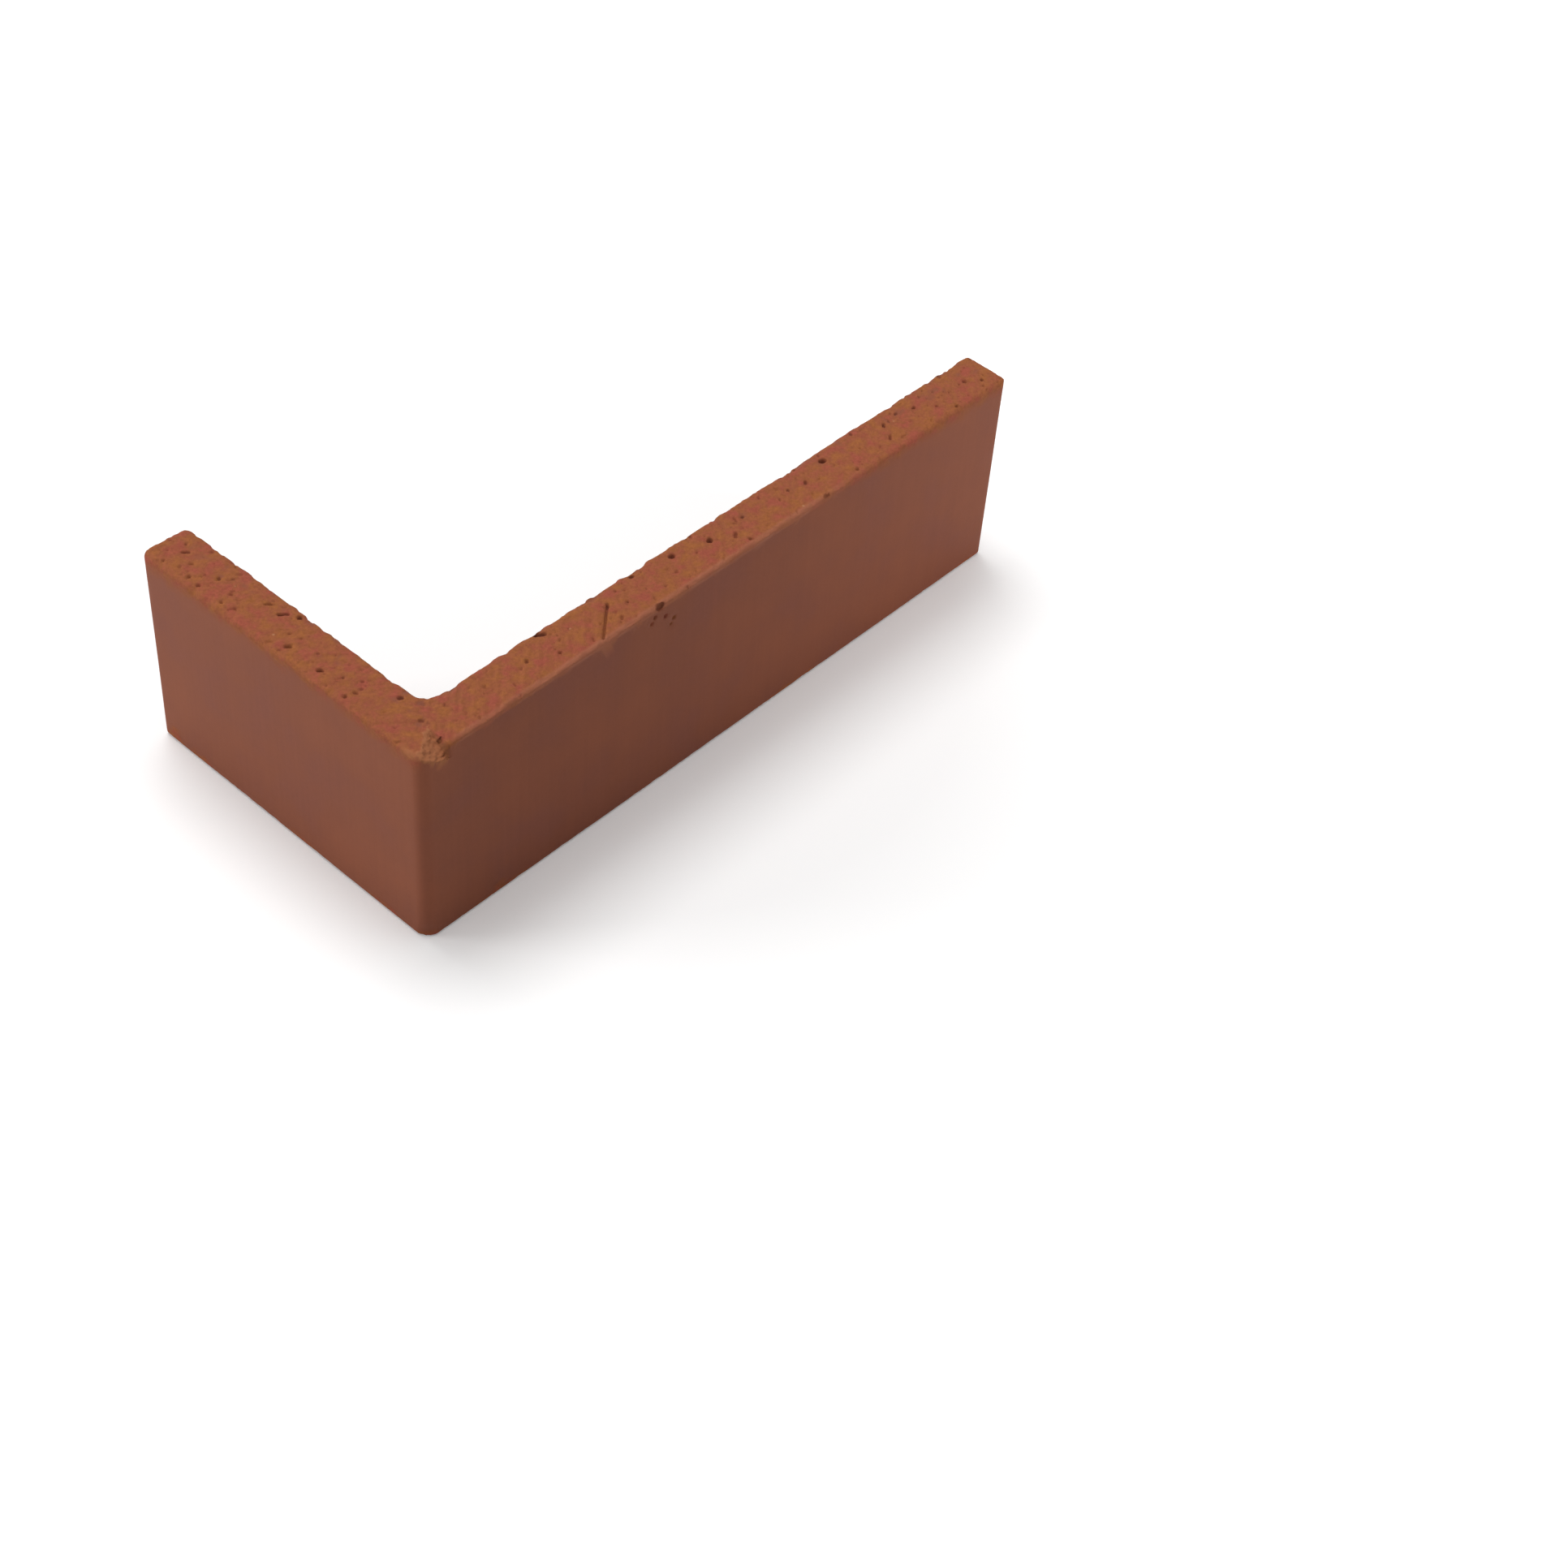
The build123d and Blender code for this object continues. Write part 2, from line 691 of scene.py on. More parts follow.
    def scar_pit_shade(self, places: np.ndarray) -> np.ndarray:
        """How much painted shade of small pits darkens the scar beside each place."""
        return self.scar_shade_share * smooth_step(*self.scar_shade_fade, self.scar_shade_spots.at(places))


# Marks that this brick's upper bed shows one by one, in millimetres from the outer arris
UPPER_MARKS = (
    Pore(58.9, 4.6, 0.48, 0.85, stretch=12.3, turn_degrees=41.0, floor_share=0.0),
    Pore(63.0, 8.1, 0.50, 1.05, stretch=2.0, turn_degrees=45.0, floor_share=0.2),
    Pore(73.9, 11.4, 0.70, 1.00, stretch=1.4, turn_degrees=10.0),
    Pore(45.7, 11.6, 0.85, 1.08, stretch=2.1, turn_degrees=-35.0),
    Pore(95.8, 8.0, 0.85, 1.15, stretch=1.3, turn_degrees=20.0),
    Pore(85.4, 10.0, 0.90, 1.15, stretch=1.2),
    Pore(44.8, 4.4, 0.65, 0.72),
    Pore(37.6, 7.3, 0.55, 0.65, stretch=1.5, turn_degrees=45.0),
    Pore(62.6, 3.1, 0.40, 0.58, stretch=2.2, turn_degrees=45.0),
    Pore(67.3, 6.0, 0.50, 0.65),
    Pore(107.3, 8.5, 0.55, 0.72),
    Pore(102.9, 1.8, 0.60, 0.79),
    Pore(136.2, 9.6, 0.95, 1.22, stretch=1.3, turn_degrees=-20.0),
    Pore(127.1, 6.8, 0.50, 0.72, stretch=1.8, turn_degrees=45.0),
    Pore(157.1, 8.5, 0.50, 0.86, stretch=2.0, turn_degrees=45.0),
    Pore(154.8, 4.4, 0.42, 0.72, stretch=2.6, turn_degrees=45.0),
    Pore(139.9, 1.8, 0.55, 0.70, stretch=1.3),
    Pore(167.7, 8.1, 0.60, 0.80, stretch=1.3),
    Pore(172.3, 4.7, 0.55, 0.70),
    Pore(176.0, 1.4, 0.55, 0.75, stretch=1.2),
    Pore(188.6, 3.8, 0.60, 0.80),
    Pore(184.9, 6.4, 0.90, 0.65),
    Pore(6.9, 85.2, 0.50, 0.86, stretch=2.4, turn_degrees=-41.0),
    Pore(8.6, 87.2, 0.50, 0.65),
    Pore(1.6, 86.4, 0.55, 0.65),
    Pore(2.3, 78.3, 0.60, 0.75),
    Pore(1.9, 74.6, 0.55, 0.65, stretch=1.3, turn_degrees=-41.0),
    Pore(6.7, 73.3, 0.55, 0.75),
    Pore(2.0, 66.8, 0.55, 0.65),
    Pore(2.8, 63.1, 0.50, 0.60),
    Pore(7.0, 46.0, 0.50, 0.60),
    Pore(5.3, 67.5, 0.60, 0.65),
    Pore(9.1, 59.3, 0.42, 0.79, stretch=2.8, turn_degrees=-41.0),
    Pore(9.3, 54.6, 0.55, 1.01, stretch=2.8, turn_degrees=-41.0),
    Pore(11.2, 51.4, 0.80, 1.08),
    Pore(3.4, 46.1, 0.70, 0.72, stretch=1.6, turn_degrees=-41.0),
    Pore(3.4, 35.6, 0.65, 0.94, stretch=1.5, turn_degrees=-41.0),
    Pore(1.9, 25.8, 0.60, 0.79),
    Pore(5.5, 30.5, 0.55, 0.65),
    Pore(10.2, 17.4, 0.65, 0.79, stretch=1.4, turn_degrees=-41.0),
)


# Finishes


def linear_colour(sheet: str) -> tuple[float, float, float, float]:
    """Turns an sRGB hex colour to linear light.

    Args:
        sheet: Six hex digits, as "A1B2C3".

    Returns:
        Red, green, blue and an alpha of 1.
    """
    parts = [int(sheet[k:k + 2], 16) / 255.0 for k in (0, 2, 4)]
    red, green, blue = (p / 12.92 if p <= 0.04045 else ((p + 0.055) / 1.055) ** 2.4 for p in parts)
    return red, green, blue, 1.0


def add_node(tree: bpy.types.NodeTree, kind: str, settings: dict[str | int, object] | None = None,
             links: dict[str | int, bpy.types.NodeSocket] | None = None) -> bpy.types.Node:
    """Adds one node with its settings and links.

    Args:
        tree: The tree that gets the node.
        kind: The node's type, such as "ShaderNodeMath".
        settings: Values by property name, or else by input name or number; "stops" holds a
            ramp's places and colours.
        links: Output sockets by the name or number of the input that they feed.

    Returns:
        The new node.
    """
    made = tree.nodes.new(kind)
    for name, value in (settings or {}).items():
        if name == "stops":
            for _ in range(len(value) - len(made.color_ramp.elements)):
                made.color_ramp.elements.new(1.0)
            for element, (place, colour) in zip(made.color_ramp.elements, value):
                element.position = place
                element.color = colour
        elif isinstance(name, str) and hasattr(made, name):
            setattr(made, name, value)
        else:
            made.inputs[name].default_value = value
    for name, source in (links or {}).items():
        tree.links.new(source, made.inputs[name])
    return made


# A noise texture seldom leaves this range, so it is stretched to what it drives
NOISE_RANGE = (0.3, 0.7)

# Where on the blotch noise the cool, the body and the warm clay stand
HUE_STOPS = (0.34, 0.50, 0.66)

# A Mix node's sockets for colours, by number, and the colour that it gives
MIX_SHARE, MIX_UNDER, MIX_OVER, MIXED = 0, 6, 7, 2

PER_METRE = 1.0 / METRES_PER_MM


def shade_by(tree: bpy.types.NodeTree, colour: bpy.types.NodeSocket, noise: bpy.types.Node,
             share: float) -> bpy.types.NodeSocket:
    """Lightens and darkens a colour by a noise.

    Args:
        tree: The material's tree.
        colour: The colour.
        noise: The noise texture's node.
        share: How far the colour is lightened or darkened, as a share of itself.

    Returns:
        The shaded colour's socket.
    """
    low, high = NOISE_RANGE
    shade = add_node(tree, "ShaderNodeMapRange", {
        "From Min": low, "From Max": high, "To Min": 1.0 - share, "To Max": 1.0 + share},
        {"Value": noise.outputs["Fac"]})
    shaded = add_node(tree, "ShaderNodeVectorMath", {"operation": "SCALE"}, {
        0: colour, "Scale": shade.outputs["Result"]})
    return shaded.outputs["Vector"]


@dataclass(frozen=True)
class ClayFinish:
    """One way that the surface of the fired clay was made, as colours, grain and roughness."""

    body: str
    warm: str
    cool: str
    blotch_mm: float
    grain_mm: float
    grain_share: float
    roughness: float
    bump_mm: float

    def lay(self, tree: bpy.types.NodeTree, place: bpy.types.NodeSocket
            ) -> tuple[bpy.types.NodeSocket, bpy.types.NodeSocket]:
        """Adds the finish's nodes.

        Args:
            tree: The material's tree.
            place: The object coordinates.

        Returns:
            The colour socket and the grain socket that the bump reads.
        """
        blotch = add_node(tree, "ShaderNodeTexNoise", {
            "Scale": PER_METRE / self.blotch_mm, "Detail": 3.0, "Roughness": 0.55}, {"Vector": place})
        grain = add_node(tree, "ShaderNodeTexNoise", {
            "Scale": PER_METRE / self.grain_mm, "Detail": 4.0, "Roughness": 0.65}, {"Vector": place})
        colours = (linear_colour(self.cool), linear_colour(self.body), linear_colour(self.warm))
        hue = add_node(tree, "ShaderNodeValToRGB", {"stops": tuple(zip(HUE_STOPS, colours))},
                       {"Fac": blotch.outputs["Fac"]})
        return shade_by(tree, hue.outputs["Color"], grain, self.grain_share), grain.outputs["Fac"]


# Extruded clay slides along a polished die, which closes its skin: even, smooth and matt, a little
# greyer than the body.
DIE_SKIN = ClayFinish(body="884E38", warm="8C5038", cool="854D3B", blotch_mm=22.0, grain_mm=0.9,
                      grain_share=0.025, roughness=0.60, bump_mm=0.012)

# The wire tears the clay open: the raw body shows, more orange, speckled by grog and full of pores.
WIRE_CUT = ClayFinish(body="96573A", warm="9A5D36", cool="9B513F", blotch_mm=3.6, grain_mm=0.8,
                      grain_share=0.14, roughness=0.92, bump_mm=0.16)

# Where the wire left the long face it smeared a thin bright lip over the torn clay
SMEARED_LIP = "A3654C"

# A flake broke off the corner after firing: its scar is sandy and paler than the weathered clay
FRESH_BREAK = "A66A48"

# Little light comes back out of a pore, so the same clay reads dark there
PORE_SHADE = "5C2B1B"

# Grog is ground from clay that was fired paler, and its grains stay pale in the tear
PALE_GRAIN = "BC8A66"


@dataclass(frozen=True)
class FiredRedClay:
    """Fired red clay, with the die's skin on the upright faces and the wire's tear on the beds."""

    skin: ClayFinish = DIE_SKIN
    tear: ClayFinish = WIRE_CUT
    lip: str = SMEARED_LIP
    fresh: str = FRESH_BREAK
    pore: str = PORE_SHADE
    pale: str = PALE_GRAIN
    striations_per_metre: float = 900.0
    striation_draw: float = 0.02
    striation_share: float = 0.02
    grog_cell_mm: float = 8.5
    grog_rim: tuple[float, float] = (0.03, 0.05)
    grog_share: float = 0.45
    refraction: float = 1.45
    sheen: float = 0.14

    def material(self) -> bpy.types.Material:
        """Builds the material.

        Returns:
            The material, which reads object coordinates and the attributes "torn", "smear", "fresh"
            and "pore", the share of painted shade in pores and pits.
        """
        made = bpy.data.materials.new("fired_red_clay")
        made.use_nodes = True
        tree = made.node_tree
        tree.nodes.clear()
        place = add_node(tree, "ShaderNodeTexCoord").outputs["Object"]
        torn, smear, fresh, pore = (
            add_node(tree, "ShaderNodeAttribute", {"attribute_name": name}).outputs["Fac"]
            for name in ("torn", "smear", "fresh", "pore"))
        skin_colour, skin_grain = self.skin.lay(tree, place)
        tear_colour, tear_grain = self.tear.lay(tree, place)

        # Striations as fine as the die's scratches, drawn out along the column
        drawn = add_node(tree, "ShaderNodeMapping", {"Scale": (1.0, 1.0, self.striation_draw)},
                         {"Vector": place})
        striation = add_node(tree, "ShaderNodeTexNoise", {
            "Scale": self.striations_per_metre, "Detail": 2.0}, {"Vector": drawn.outputs["Vector"]})
        skin_streaked = shade_by(tree, skin_colour, striation, self.striation_share)

        # Grains of grog that stay pale in the torn clay
        spots = add_node(tree, "ShaderNodeTexVoronoi", {"Scale": PER_METRE / self.grog_cell_mm},
                         {"Vector": place})
        near, far = self.grog_rim
        dot = add_node(tree, "ShaderNodeMapRange", {
            "From Min": near, "From Max": far, "To Min": self.grog_share, "To Max": 0.0},
            {"Value": spots.outputs["Distance"]})
        bare = add_node(tree, "ShaderNodeMath", {"operation": "MULTIPLY"}, {
            0: dot.outputs["Result"], 1: torn}).outputs["Value"]

        # The torn clay lies over the skin, and each mark in its plain colour over both; last comes the
        # painted shade of pores and pits
        colour = add_node(tree, "ShaderNodeMix", {"data_type": "RGBA"}, {
            MIX_SHARE: torn, MIX_UNDER: skin_streaked, MIX_OVER: tear_colour}).outputs[MIXED]
        for share, over in ((smear, self.lip), (fresh, self.fresh), (bare, self.pale), (pore, self.pore)):
            colour = add_node(tree, "ShaderNodeMix", {"data_type": "RGBA", MIX_OVER: linear_colour(over)}, {
                MIX_SHARE: share, MIX_UNDER: colour}).outputs[MIXED]

        skin_height = add_node(tree, "ShaderNodeMath", {"operation": "MULTIPLY", 1: self.skin.bump_mm},
                               {0: skin_grain})
        tear_height = add_node(tree, "ShaderNodeMath", {"operation": "MULTIPLY", 1: self.tear.bump_mm},
                               {0: tear_grain})
        height = add_node(tree, "ShaderNodeMix", {}, {
            0: torn, 2: skin_height.outputs[0], 3: tear_height.outputs[0]})
        bump = add_node(tree, "ShaderNodeBump", {"Strength": 1.0, "Distance": METRES_PER_MM},
                        {"Height": height.outputs[0]})
        rough = add_node(tree, "ShaderNodeMapRange", {"To Min": self.skin.roughness,
                         "To Max": self.tear.roughness}, {"Value": torn})
        clay = add_node(tree, "ShaderNodeBsdfPrincipled", {
            "IOR": self.refraction, "Specular IOR Level": self.sheen}, {
            "Base Color": colour, "Roughness": rough.outputs["Result"], "Normal": bump.outputs["Normal"]})
        add_node(tree, "ShaderNodeOutputMaterial", {}, {"Surface": clay.outputs["BSDF"]})
        return made


# The brick


@dataclass
class BrickCorner:
    """The brick: an L column extruded through a die, cut to its course height by wires and fired.

    All sizes are in millimetres, and places are counted from the foot of the outer arris.
    """

    low: Vector
    high: Vector
    thickness: float = 12.7
    outer_arris_radius: float = 3.2
    inner_corner_radius: float = 4.5
    leg_end_radius: float = 1.2
    bed_arris_radius: float = 0.9
    corner_steps: int = 10
    leg_end_steps: int = 6
    bed_arris_steps: int = 4
    grid: float = 0.34
    triangles: int = 190_000
    wear: ArrisWear = field(default_factory=ArrisWear)
    edges: TornEdges = field(default_factory=TornEdges)
    foot_wear: float = 1.3
    foot_height: float = 6.0
    clay: FiredRedClay = field(default_factory=FiredRedClay)
    arris: RolledArris = field(default_factory=RolledArris)
    spall: Spall = field(default_factory=Spall)
    upper: TornBed = field(default_factory=lambda: TornBed(Bed.UPPER, marks=UPPER_MARKS))
    lower: TornBed = field(default_factory=lambda: TornBed(Bed.LOWER))
    chips: tuple[Chip, ...] = (
        # A chip's shade paints its broken inside darker as painted shade; the small ones on the long face are
        # pits
        Chip((71.8, -0.45, 56.6), 1.20, shade=0.75),
        Chip((72.7, -0.45, 55.2), 0.75, shade=0.30),
        Chip((70.1, -0.35, 54.2), 0.80, shade=0.60, roughness=0.1),
        Chip((73.5, -0.35, 52.5), 0.80, shade=0.60, roughness=0.1),
        Chip((76.4, -0.35, 50.4), 0.75, shade=0.50, roughness=0.1),
        Chip((69.1, -0.35, 52.8), 0.75, shade=0.50, roughness=0.1),
        Chip((75.5, -0.35, 49.0), 0.75, shade=0.50, roughness=0.1),
        Chip((75.1, 13.6, 57.9), 1.7),
        Chip((127.7, -1.0, 57.8), 1.7, shade=0.6),
        Chip((177.6, -0.9, 57.9), 1.6),
        Chip((-1.4, 46.8, 57.4), 1.9),
        Chip((-2.4, 92.6, 60.0), 4.6),
    )
    tinges: tuple[Tinge, ...] = (
        Tinge(-88.0, 2.6, 4.6), Tinge(-79.0, 4.0, 2.2), Tinge(-40.0, 6.0, 1.2), Tinge(-14.0, 5.0, 2.0),
        Tinge(0.0, 3.5, 2.6), Tinge(24.0, 7.0, 2.2), Tinge(120.0, 9.0, 1.4), Tinge(188.0, 4.0, 2.0))

    @property
    def size(self) -> Vector:
        """The brick's length, width and height."""
        return (self.high - self.low) / METRES_PER_MM

    @property
    def section(self) -> LSection:
        """The L of the section."""
        return LSection(self.size.x, self.size.y, self.thickness, self.outer_arris_radius)

    def column(self) -> bmesh.types.BMesh:
        """Shapes the clay column with its rounded arrises.

        Returns:
            The closed form in millimetres.
        """
        form = bmesh.new()
        thick = self.thickness
        ring = [form.verts.new((x, y, 0.0)) for x, y in ((0, 0), (thick, 0), (thick, thick), (0, thick))]
        form.faces.new(ring)
        self._draw_leg(form, ring[1], ring[2], Vector((self.size.x - thick, 0.0, 0.0)))
        self._draw_leg(form, ring[2], ring[3], Vector((0.0, self.size.y - thick, 0.0)))
        raised = bmesh.ops.extrude_face_region(form, geom=form.faces[:])["geom"]
        bmesh.ops.translate(form, vec=(0.0, 0.0, self.size.z),
                            verts=[g for g in raised if isinstance(g, bmesh.types.BMVert)])
        bmesh.ops.recalc_face_normals(form, faces=form.faces[:])
        bmesh.ops.dissolve_limit(form, angle_limit=FLAT_ANGLE, verts=form.verts[:], edges=form.edges[:])
        self._round_upright(form, (0.0, 0.0), self.outer_arris_radius, self.corner_steps)
        self._round_upright(form, (thick, thick), self.inner_corner_radius, self.corner_steps)
        for corner in ((self.size.x, 0.0), (self.size.x, thick), (0.0, self.size.y), (thick, self.size.y)):
            self._round_upright(form, corner, self.leg_end_radius, self.leg_end_steps)
        rims = [edge for edge in form.edges if self._is_bed_rim(edge)]
        self._round(form, rims, self.bed_arris_radius, self.bed_arris_steps)
        return form

    @staticmethod
    def _draw_leg(form: bmesh.types.BMesh, first: bmesh.types.BMVert, last: bmesh.types.BMVert,
                  reach: Vector) -> None:
        """Draws one leg of the L out of the corner square.

        Args:
            form: The form that grows.
            first: One end of the edge that is drawn out.
            last: The other end of that edge.
            reach: How far it is drawn, in millimetres.
        """
        edge = form.edges.get((first, last))
        drawn = bmesh.ops.extrude_edge_only(form, edges=[edge])["geom"]
        bmesh.ops.translate(form, vec=reach, verts=[g for g in drawn if isinstance(g, bmesh.types.BMVert)])

    @staticmethod
    def _round(form: bmesh.types.BMesh, edges: list[bmesh.types.BMEdge], radius: float, steps: int) -> None:
        """Rounds edges of the form.

        Args:
            form: The form that is rounded.
            edges: The edges.
            radius: The rounding's radius in millimetres.
            steps: The rounding's number of steps.
        """
        bmesh.ops.bevel(form, geom=edges, offset=radius, offset_type="OFFSET", segments=steps,
                        profile=0.5, affect="EDGES", material=-1, clamp_overlap=True)

    def _round_upright(self, form: bmesh.types.BMesh, corner: tuple[float, float], radius: float,
                       steps: int) -> None:
        """Rounds the upright edge at one corner of the section.

        Args:
            form: The form that is rounded.
            corner: The corner's place in the section, in millimetres.
            radius: The rounding's radius in millimetres.
            steps: The rounding's number of steps.
        """
        place = Vector(corner)
        edges = [edge for edge in form.edges
                 if all((v.co.xy - place).length < SAME_PLACE_MM for v in edge.verts)]
        self._round(form, edges, radius, steps)

    @staticmethod
    def _is_bed_rim(edge: bmesh.types.BMEdge) -> bool:
        """True for an edge between a bed and an upright face."""
        return (edge.is_manifold and edge.calc_face_angle(0.0) > RIGHT_ANGLE / 2
                and abs(edge.verts[0].co.z - edge.verts[1].co.z) < SAME_PLACE_MM)

    @staticmethod
    def _through_modifier(mesh: bpy.types.Mesh, kind: str, settings: dict[str, object]) -> bpy.types.Mesh:
        """Runs a mesh through one modifier.

        Args:
            mesh: The mesh, which is used up.
            kind: The modifier's type.
            settings: The modifier's values by name.

        Returns:
            The new mesh.
        """
        carrier = bpy.data.objects.new("carrier", mesh)
        bpy.context.scene.collection.objects.link(carrier)
        modifier = carrier.modifiers.new(kind.lower(), kind)
        for name, value in settings.items():
            setattr(modifier, name, value)
        bpy.context.view_layer.update()
        graph = bpy.context.evaluated_depsgraph_get()
        made = bpy.data.meshes.new_from_object(carrier.evaluated_get(graph))
        bpy.data.objects.remove(carrier)
        bpy.data.meshes.remove(mesh)
        return made

    def even_mesh(self) -> bpy.types.Mesh:
        """Lays an even grid over the column, fine enough for the tear.

        Returns:
            The mesh in millimetres.
        """
        form = self.column()
        mesh = bpy.data.meshes.new("column")
        form.to_mesh(mesh)
        form.free()
        return self._through_modifier(mesh, "REMESH", {"mode": "VOXEL", "voxel_size": self.grid})

    def weather(self, places: np.ndarray, normals: np.ndarray) -> np.ndarray:
        """Gives the even surface its tear, pores, frayed arrises and chips.

        Args:
            places: The surface's places in millimetres, one row each.
            normals: Their outward normals.

        Returns:
            The places after making and wear.
        """
        section = self.section
        height = self.size.z
        moved = self.wear.fray(places, normals, section, height)
        for bed, sign in ((self.upper, 1.0), (self.lower, -1.0)):
            facing = smooth_step(*bed.facing_fade, sign * normals[:, 2])
            on_bed = facing > 0.0
            drop = np.zeros(len(places))
            drop[on_bed] = bed.drop(places[on_bed], section) + bed.hollow(places[on_bed], section)[0]
            moved[:, 2] -= sign * facing * drop
        moved = self.spall.bite(self.arris.roll(self.round_foot(moved), section, height))
        for chip in self.chips:
            moved = chip.bite(moved)
        return np.clip(moved, 0.0, np.array(self.size))

    def round_foot(self, places: np.ndarray) -> np.ndarray:
        """Rounds the foot of the outer arris further, as handling wears it.

        Args:
            places: Places in millimetres, one row each.

        Returns:
            The places after the wear.
        """
        worn = self.foot_wear * smooth_step(self.foot_height, 0.0, places[:, 2])
        radius = (self.outer_arris_radius + worn)[:, None]
        inward = radius - places[:, :2]
        reach = np.maximum(np.linalg.norm(inward, axis=1), LEAST_MM)[:, None]
        outside = (inward > 0.0).all(axis=1) & (reach > radius)[:, 0]
        moved = places.copy()
        moved[outside, :2] = (radius - inward * radius / reach)[outside]
        return moved

    def attributes(self, places: np.ndarray, normals: np.ndarray) -> dict[str, np.ndarray]:
        """Works out where the finished surface is torn, smeared by the wire or broken, and where pores and
        pits get painted shade.

        Args:
            places: The finished surface's places in millimetres, one row each.
            normals: Their outward normals.

        Returns:
            Values from 0 to 1 by attribute name.
        """
        section = self.section
        depth, _, run = section.along_outer_faces(places)
        from_top = self.size.z - places[:, 2]
        fresh = np.maximum(self.spall.broken(places), self.edges.scraped(depth, run, from_top))
        rolled = self.arris.radius(run)
        patch = np.max([tinge.over(run) for tinge in self.tinges], axis=0)
        torn = np.maximum(self.edges.torn_upper(places, depth, run, from_top, rolled),
                          self.edges.torn_lower(places, depth, run, patch))
        pore = np.zeros(len(places))
        sunk = smooth_step(*self.edges.sunk_fade, depth)
        for chip in self.chips:
            broken = chip.broken(places) * sunk
            torn = np.maximum(torn, broken)
            # Painted shade inside the chips, where they sink behind the outer faces
            pore = np.maximum(pore, chip.shade * broken)
        torn = np.maximum(torn, fresh)
        # Painted shade of small pits spotted over the scar
        pore = np.maximum(pore, self.edges.scar_pit_shade(places) * fresh)
        facing = smooth_step(*self.edges.upright_fade, np.abs(normals[:, 2])) * (1.0 - fresh)
        for bed, height in ((self.upper, from_top), (self.lower, places[:, 2])):
            near = height < self.edges.pore_reach
            # Painted shade in the beds' pores, on faces that look up or down
            pore[near] = np.maximum(pore[near], bed.hollow(places[near], section)[1] * facing[near])
        smear = self.edges.smeared(places, depth, run, from_top)
        return {"torn": torn, "smear": smear, "fresh": fresh, "pore": pore}

    def build(self) -> bpy.types.Object:
        """Makes the finished brick and ties it to the frame.

        Returns:
            The brick, in metres, in the row's frame.
        """
        mesh = self.even_mesh()
        places, normals = read_surface(mesh)
        write_places(mesh, self.weather(places, normals))
        share = min(1.0, self.triangles / count_triangles(mesh))
        mesh = self._through_modifier(mesh, "DECIMATE", {"ratio": share})
        places, normals = read_surface(mesh)
        for name, values in self.attributes(places, normals).items():
            mesh.attributes.new(name, "FLOAT", "POINT").data.foreach_set("value", values.astype(np.float32))
        write_places(mesh, places * METRES_PER_MM + np.array(self.low))
        mesh.shade_smooth()
        mesh.materials.append(self.clay.material())
        brick = bpy.data.objects.new("fired_brick", mesh)
        mesh.name = brick.name
        bpy.context.scene.collection.objects.link(brick)
        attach(brick, "root")
        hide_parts(NODE)
        return brick


def read_surface(mesh: bpy.types.Mesh) -> tuple[np.ndarray, np.ndarray]:
    """Reads a mesh's places and normals.

    Args:
        mesh: The mesh.

    Returns:
        The places and the normals, one row for each vertex.
    """
    count = len(mesh.vertices)
    places = np.empty(count * 3, np.float32)
    normals = np.empty(count * 3, np.float32)
    mesh.vertices.foreach_get("co", places)
    mesh.vertices.foreach_get("normal", normals)
    return places.reshape(count, 3).astype(float), normals.reshape(count, 3).astype(float)


def write_places(mesh: bpy.types.Mesh, places: np.ndarray) -> None:
    """Moves a mesh's vertices.

    Args:
        mesh: The mesh.
        places: The new places, one row for each vertex.
    """
    mesh.vertices.foreach_set("co", places.astype(np.float32).ravel())
    mesh.update()


def count_triangles(mesh: bpy.types.Mesh) -> int:
    """Counts the triangles that a mesh's faces make."""
    return sum(len(face.vertices) - 2 for face in mesh.polygons)


# Studio


@dataclass(frozen=True)
class StudioLight:
    """A soft light, aimed at a point of the brick and placed round it."""

    name: str
    kind: LightKind
    azimuth: float
    elevation: float
    distance: float
    width: float
    watts: float
    aim: tuple[float, float, float] = (0.0, 0.0, 0.0)
    cone_degrees: float = 0.0

    def hang(self) -> bpy.types.Object:
        """Hangs the light.

        Returns:
            The light.
        """
        turn, rise = math.radians(self.azimuth), math.radians(self.elevation)
        way = Vector((math.cos(turn) * math.cos(rise), math.sin(turn) * math.cos(rise), math.sin(rise)))
        lamp = bpy.data.lights.new(self.name, self.kind.value)
        lamp.energy = self.watts
        if self.kind is LightKind.SOFT_BOX:
            lamp.shape = "SQUARE"
            lamp.size = self.width
        else:
            lamp.shadow_soft_size = self.width / 2
            lamp.spot_size = math.radians(self.cone_degrees)
            lamp.spot_blend = 1.0
        made = bpy.data.objects.new(self.name, lamp)
        made.location = Vector(self.aim) + way * self.distance
        made.rotation_euler = (-way).to_track_quat("-Z", "Y").to_euler()
        made.visible_camera = False
        bpy.context.scene.collection.objects.link(made)
        return made


